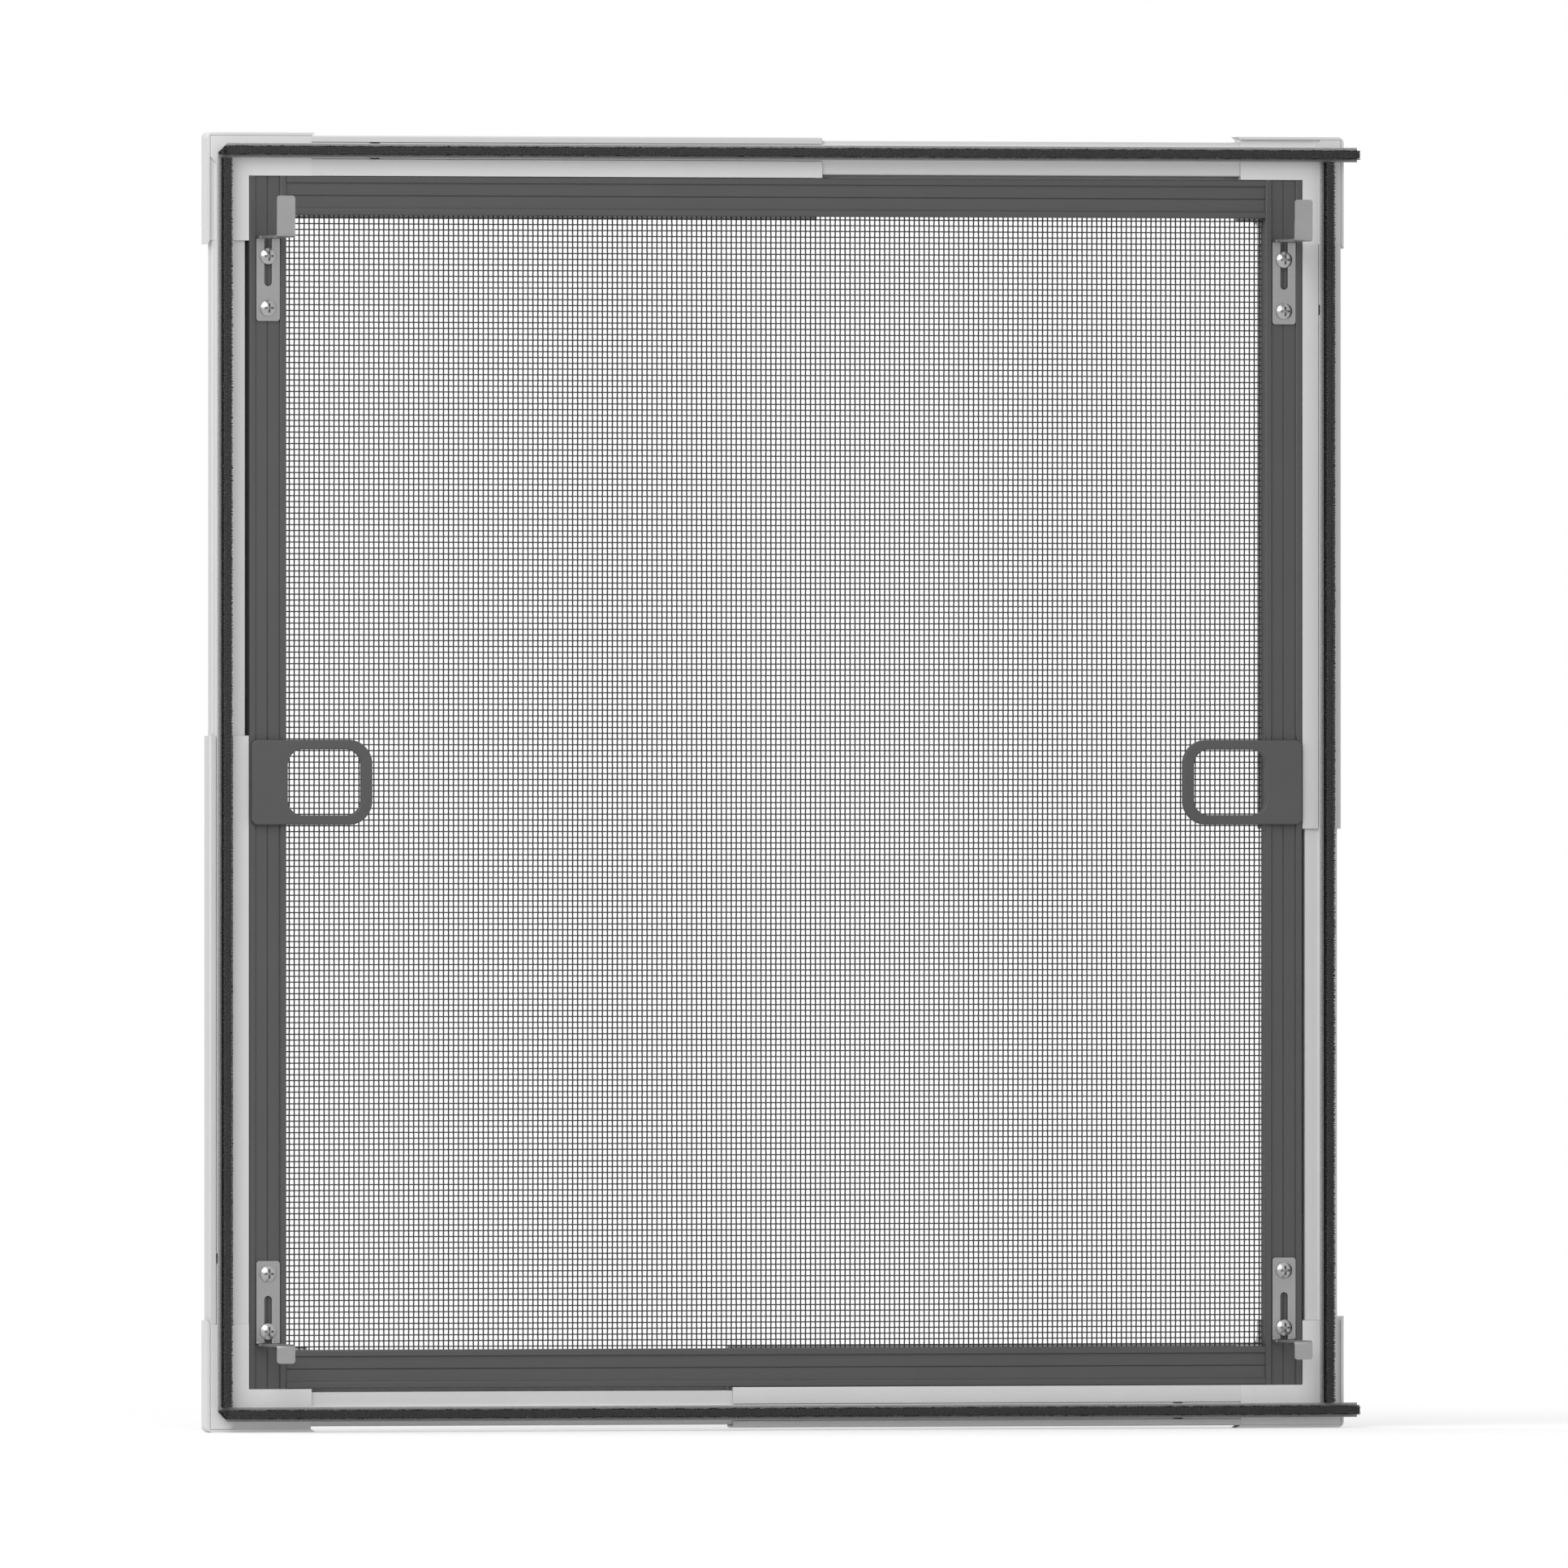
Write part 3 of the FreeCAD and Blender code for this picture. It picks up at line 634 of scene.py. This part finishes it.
class SCREEN_OT_brushes(bpy.types.Operator):
    """Sets a woven backing with an upright pile of fibres in place of each brush strip"""

    bl_idname = "screen.brushes"
    bl_label = "Brush seals"

    def execute(self, context):
        finish = settings().screen_finish
        self.brush = settings().screen_brush
        # The tip value paints light on the pile's tips and shade at its foot
        pile = fibre_material(
            "Brush pile fibre", finish.pile, cell=0.5, spread=0.25, bump=0.4, gloss=0.1, tip=2.4
        )
        backing = fibre_material("Brush backing weave", finish.backing, cell=0.45, spread=0.15, bump=0.4)
        for number, side in enumerate(SIDES):
            node = "brush_strip_" + side
            low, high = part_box(node)
            level = side in ("top", "bottom")
            along = (low.x, high.x) if level else (low.z, high.z)
            middle = (low.z + high.z) / 2 if level else (low.x + high.x) / 2
            half = (high.z - low.z) / 2 if level else (high.x - low.x) / 2
            self.lay_backing(side, along, middle, half, high.y, level, backing, node)
            self.set_pile(side, along, middle, 2 * half, (low.y, high.y), level, pile, node, number)
        return {"FINISHED"}

    def lay_backing(self, side, along, middle, half, back, level, material, node):
        """The backing: a strip with rounded selvedges and a channel where the pile is welded on."""
        thick = self.brush.backing
        groove = self.brush.pile_width / 2
        right = [(groove + out * thick, rise * thick) for out, rise in BACKING_CHANNEL]
        right += [(half - inwards * thick, rise * thick) for inwards, rise in BACKING_SELVEDGE]
        outline = [(-across, rise) for across, rise in reversed(right)] + right
        count = len(outline)
        points = []
        faces = []
        outer = 1 if side == "top" else -1
        for step in range(BACKING_STEPS + 1):
            for across, rise in outline:
                run = along[0] + (along[1] - along[0]) * step / BACKING_STEPS
                if level and step == 0:
                    run += max(0.0, self.brush.bevel - (half - outer * across))
                place = middle + across
                points.append((run, back - rise, place) if level else (place, back - rise, run))
        for step in range(BACKING_STEPS):
            for k in range(count):
                a = step * count + k
                b = step * count + (k + 1) % count
                faces.append((a, b, b + count, a + count))
        faces.append(tuple(range(count - 1, -1, -1)))
        faces.append(tuple(range(BACKING_STEPS * count, (BACKING_STEPS + 1) * count)))
        if level:
            faces = [face[::-1] for face in faces]
        new_piece("brush_backing_" + side, points, faces, material, "brush_pile", node)

    def set_pile(self, side, along, middle, strip, depth, level, material, node, number):
        """Bundles of fibres in rows, each with its own lean and height, round a dense core."""
        brush = self.brush
        chance = random.Random(brush.seed + number)
        tip = depth[0]
        root = depth[1] - PILE_SEAT * brush.backing
        half = brush.pile_width / 2 - brush.fibre / 2
        outer = 1 if side == "top" else -1
        points = []

        def add(run, across, y):
            points.append((run, y, middle + across) if level else (middle + across, y, run))

        core = half - CORE_INSET
        core_top = tip + CORE_DROP * brush.ragged
        core_start = along[0] + CORE_END_INSET + (CORE_BEVEL * brush.bevel if level else 0.0)
        for run in (core_start, along[1] - CORE_END_INSET):
            for across, y in ((-core, root), (core, root), (core, core_top), (-core, core_top)):
                add(run, across, y)
        faces = list(CORE_FACES)
        count = int((along[1] - along[0] - brush.fibre) / brush.spacing)
        for i in range(count + 1):
            wave = i * brush.spacing / TUFT_LENGTH + TUFT_WANDER * math.sin(i * TUFT_DRIFT)
            tuft = 0.5 + 0.5 * math.sin(wave)
            fray = chance.random()
            for row in range(brush.rows):
                run = along[0] + brush.fibre / 2 + i * brush.spacing
                across = -half + 2 * half * row / (brush.rows - 1)
                from_end = run - along[0]
                from_edge = strip / 2 - outer * across
                if level and from_end + from_edge < brush.bevel:
                    continue
                run += chance.uniform(-RUN_PLAY, RUN_PLAY) * brush.spacing
                lean = chance.gauss(0, LEAN)
                splay = across / half * (chance.uniform(0.0, SPLAY) + FRAY * fray * tuft)
                shorter = SHORT_SHARE * chance.random() + TUFT_SHARE * tuft * chance.random()
                top = tip + brush.ragged * shorter
                wide = brush.fibre * chance.uniform(*BUNDLE_SHARE)
                turn = chance.uniform(0, BUNDLE_TURN)
                first = len(points)
                for share, shift, y in ((1.0, 0.0, root), (TIP_SHARE, 1.0, top)):
                    place = min(max(run + lean * shift, along[0] + wide), along[1] - wide)
                    for k in range(3):
                        angle = turn + k * THIRD_TURN
                        add(
                            place + wide * share * math.cos(angle),
                            across + splay * shift + wide * share * math.sin(angle), y,
                        )
                for k in range(3):
                    after = (k + 1) % 3
                    faces.append((first + k, first + after, first + 3 + after, first + 3 + k))
                faces.append((first + 3, first + 4, first + 5))
                faces.append((first + 2, first + 1, first))
        if not level:
            faces = [face[::-1] for face in faces]
        new_piece("brush_pile_" + side, points, faces, material, "brush_pile", node)


class SCREEN_OT_hooks(bpy.types.Operator):
    """Finishes the folded steel hooks and their screws"""

    bl_idname = "screen.hooks"
    bl_label = "Hooks and screws"

    def execute(self, context):
        finish = settings().screen_finish
        rolled = {"Across X": 6.0, "Across Y": 0.05, "Across Z": 0.05}
        steel = metal_material("Rolled hook steel", finish.steel, (0.32, 0.5), rolled, aniso=0.3)
        for height in ("upper", "lower"):
            for side in ("left", "right"):
                soften(dress("hook_" + height + "_" + side, steel), HOOK_BEVEL)
        turned = {"Across X": 1.5, "Across Y": 0.6, "Across Z": 1.5}
        zinc = metal_material("Plated screw zinc", finish.zinc, (0.2, 0.34), turned, aniso=0.0)
        dress("hook_screws", zinc)
        return {"FINISHED"}


class SCREEN_OT_tabs(bpy.types.Operator):
    """Finishes the moulded finger loops"""

    bl_idname = "screen.tabs"
    bl_label = "Finger loops"

    def execute(self, context):
        colour = settings().screen_finish.tab
        plastic = coat_material(
            "Dark moulded loop", colour, grain=0.4, rough=(0.38, 0.52), bump=0.3, spread=0.06
        )
        for side in ("left", "right"):
            dress("pull_tab_" + side, plastic)
        return {"FINISHED"}


class SCREEN_OT_stage(bpy.types.Operator):
    """Lays the floor and sets the light, the white room and the camera"""

    bl_idname = "screen.stage"
    bl_label = "Stage"

    def execute(self, context):
        stage = settings().screen_stage
        self.lay_floor(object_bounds()[0].z, stage)
        self.set_room(stage)
        self.set_lights(stage)
        self.set_camera(stage)
        context.scene.view_settings.view_transform = "Standard"
        return {"FINISHED"}

    def seen(self, tree, x, y):
        """1 for rays that show the background: from the camera, off gloss and through glass."""
        path = put(tree, "ShaderNodeLightPath", x, y)
        gloss = put(tree, "ShaderNodeMath", x + 200, y, operation="MAXIMUM")
        tree.links.new(path.outputs["Is Camera Ray"], gloss.inputs[0])
        tree.links.new(path.outputs["Is Glossy Ray"], gloss.inputs[1])
        glass = put(tree, "ShaderNodeMath", x + 400, y, operation="MAXIMUM")
        tree.links.new(gloss.outputs[0], glass.inputs[0])
        tree.links.new(path.outputs["Is Transmission Ray"], glass.inputs[1])
        return glass.outputs[0]

    def lay_floor(self, height, stage):
        """A pale floor that shows white where nothing shades it, and wholly white further off."""
        mesh = bpy.data.meshes.new("studio_floor")
        turns = [math.radians(turn) for turn in range(0, 360, 4)]
        rim = [(FLOOR_RADIUS * math.cos(turn), FLOOR_RADIUS * math.sin(turn), height) for turn in turns]
        mesh.from_pydata(rim, [], [tuple(range(len(rim)))])
        floor = bpy.data.objects.new("studio_floor", mesh)
        bpy.context.scene.collection.objects.link(floor)
        floor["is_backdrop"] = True
        material = bpy.data.materials.new("Pale floor")
        material.use_nodes = True
        tree = material.node_tree
        tree.nodes.clear()
        matt = put(tree, "ShaderNodeBsdfDiffuse", 0, 100)
        matt.inputs["Color"].default_value = (*stage.floor, 1.0)
        lift = put(tree, "ShaderNodeEmission", 0, -100)
        place = put(tree, "ShaderNodeTexCoord", -900, 200)
        away = put(tree, "ShaderNodeVectorMath", -700, 200, operation="LENGTH")
        tree.links.new(place.outputs["Object"], away.inputs[0])
        fade = put(tree, "ShaderNodeMapRange", -500, 200, interpolation_type="SMOOTHSTEP")
        fade.inputs["From Min"].default_value = FLOOR_FADE[0]
        fade.inputs["From Max"].default_value = FLOOR_FADE[1]
        tree.links.new(away.outputs["Value"], fade.inputs["Value"])
        seen = self.seen(tree, -900, -200)
        strength = put(tree, "ShaderNodeMath", -200, -200, operation="MULTIPLY")
        strength.inputs[1].default_value = FLOOR_LIFT
        tree.links.new(seen, strength.inputs[0])
        tree.links.new(strength.outputs[0], lift.inputs["Strength"])
        near = put(tree, "ShaderNodeAddShader", 200, 100)
        tree.links.new(matt.outputs[0], near.inputs[0])
        tree.links.new(lift.outputs[0], near.inputs[1])
        level = put(tree, "ShaderNodeMapRange", -200, -400)
        level.inputs["To Min"].default_value = FAR_FLOOR_LIGHT
        tree.links.new(seen, level.inputs["Value"])
        white = put(tree, "ShaderNodeEmission", 200, -100)
        tree.links.new(level.outputs["Result"], white.inputs["Strength"])
        floor_mix = put(tree, "ShaderNodeMixShader", 400, 0)
        tree.links.new(fade.outputs["Result"], floor_mix.inputs["Fac"])
        tree.links.new(near.outputs[0], floor_mix.inputs[1])
        tree.links.new(white.outputs[0], floor_mix.inputs[2])
        out = put(tree, "ShaderNodeOutputMaterial", 600, 0)
        tree.links.new(floor_mix.outputs[0], out.inputs["Surface"])
        mesh.materials.append(material)

    def set_room(self, stage):
        """A plain room light, seen as white."""
        world = bpy.data.worlds.new("White room")
        world.use_nodes = True
        bpy.context.scene.world = world
        tree = world.node_tree
        tree.nodes.clear()
        level = put(tree, "ShaderNodeMapRange", 0, 0)
        level.inputs["To Min"].default_value = stage.ambient
        level.inputs["To Max"].default_value = 1.0
        tree.links.new(self.seen(tree, -700, 0), level.inputs["Value"])
        sky = put(tree, "ShaderNodeBackground", 250, 0)
        sky.inputs["Color"].default_value = (1.0, 1.0, 1.0, 1.0)
        tree.links.new(level.outputs["Result"], sky.inputs["Strength"])
        out = put(tree, "ShaderNodeOutputWorld", 450, 0)
        tree.links.new(sky.outputs[0], out.inputs["Surface"])

    def set_lights(self, stage):
        """One large soft light, high on the left in front."""
        lamp = bpy.data.lights.new("Key", "AREA")
        lamp.shape = "DISK"
        lamp.size = KEY_SIZE
        lamp.energy = stage.key
        key = bpy.data.objects.new("Key", lamp)
        key.location = KEY_PLACE
        key.rotation_euler = (-key.location).to_track_quat("-Z", "Y").to_euler()
        bpy.context.scene.collection.objects.link(key)

    def set_camera(self, stage):
        """The camera, left of the screen's front at mid height."""
        sight = bpy.data.cameras.new("Camera")
        sight.sensor_width = SENSOR
        sight.lens = SENSOR * stage.distance / stage.picture
        camera = bpy.data.objects.new("Camera", sight)
        away = Vector((
            math.sin(stage.azimuth) * math.cos(stage.elevation),
            -math.cos(stage.azimuth) * math.cos(stage.elevation),
            math.sin(stage.elevation),
        ))
        camera.location = Vector(AIM) + away * stage.distance
        camera.rotation_euler = (-away).to_track_quat("-Z", "Y").to_euler()
        bpy.context.scene.collection.objects.link(camera)
        bpy.context.scene.camera = camera


OPERATORS = (
    SCREEN_OT_surround, SCREEN_OT_profiles, SCREEN_OT_mesh, SCREEN_OT_brushes, SCREEN_OT_hooks,
    SCREEN_OT_tabs, SCREEN_OT_stage,
)
GROUPS = {
    "screen_finish": SCREEN_PG_finish,
    "screen_weave": SCREEN_PG_weave,
    "screen_brush": SCREEN_PG_brush,
    "screen_stage": SCREEN_PG_stage,
}


class SCREEN_PT_panel(bpy.types.Panel):
    """Lists the steps of the dressing and their values"""

    bl_idname = "SCREEN_PT_panel"
    bl_label = "Insect screen"
    bl_space_type = "VIEW_3D"
    bl_region_type = "UI"
    bl_category = "Screen"

    def draw(self, context):
        for operator in OPERATORS:
            self.layout.operator(operator.bl_idname)
        for name, group in GROUPS.items():
            box = self.layout.box()
            values = getattr(context.scene, name)
            for prop in group.__annotations__:
                box.prop(values, prop)


def register():
    for group in GROUPS.values():
        bpy.utils.register_class(group)
    for name, group in GROUPS.items():
        setattr(bpy.types.Scene, name, bpy.props.PointerProperty(type=group))
    for operator in OPERATORS:
        bpy.utils.register_class(operator)
    bpy.utils.register_class(SCREEN_PT_panel)


def unregister():
    bpy.utils.unregister_class(SCREEN_PT_panel)
    for operator in reversed(OPERATORS):
        bpy.utils.unregister_class(operator)
    for name in GROUPS:
        delattr(bpy.types.Scene, name)
    for group in reversed(list(GROUPS.values())):
        bpy.utils.unregister_class(group)


def main():
    register()
    bpy.ops.screen.surround()
    bpy.ops.screen.profiles()
    bpy.ops.screen.mesh()
    bpy.ops.screen.brushes()
    bpy.ops.screen.hooks()
    bpy.ops.screen.tabs()
    bpy.ops.screen.stage()


if __name__ == "__main__":
    main()
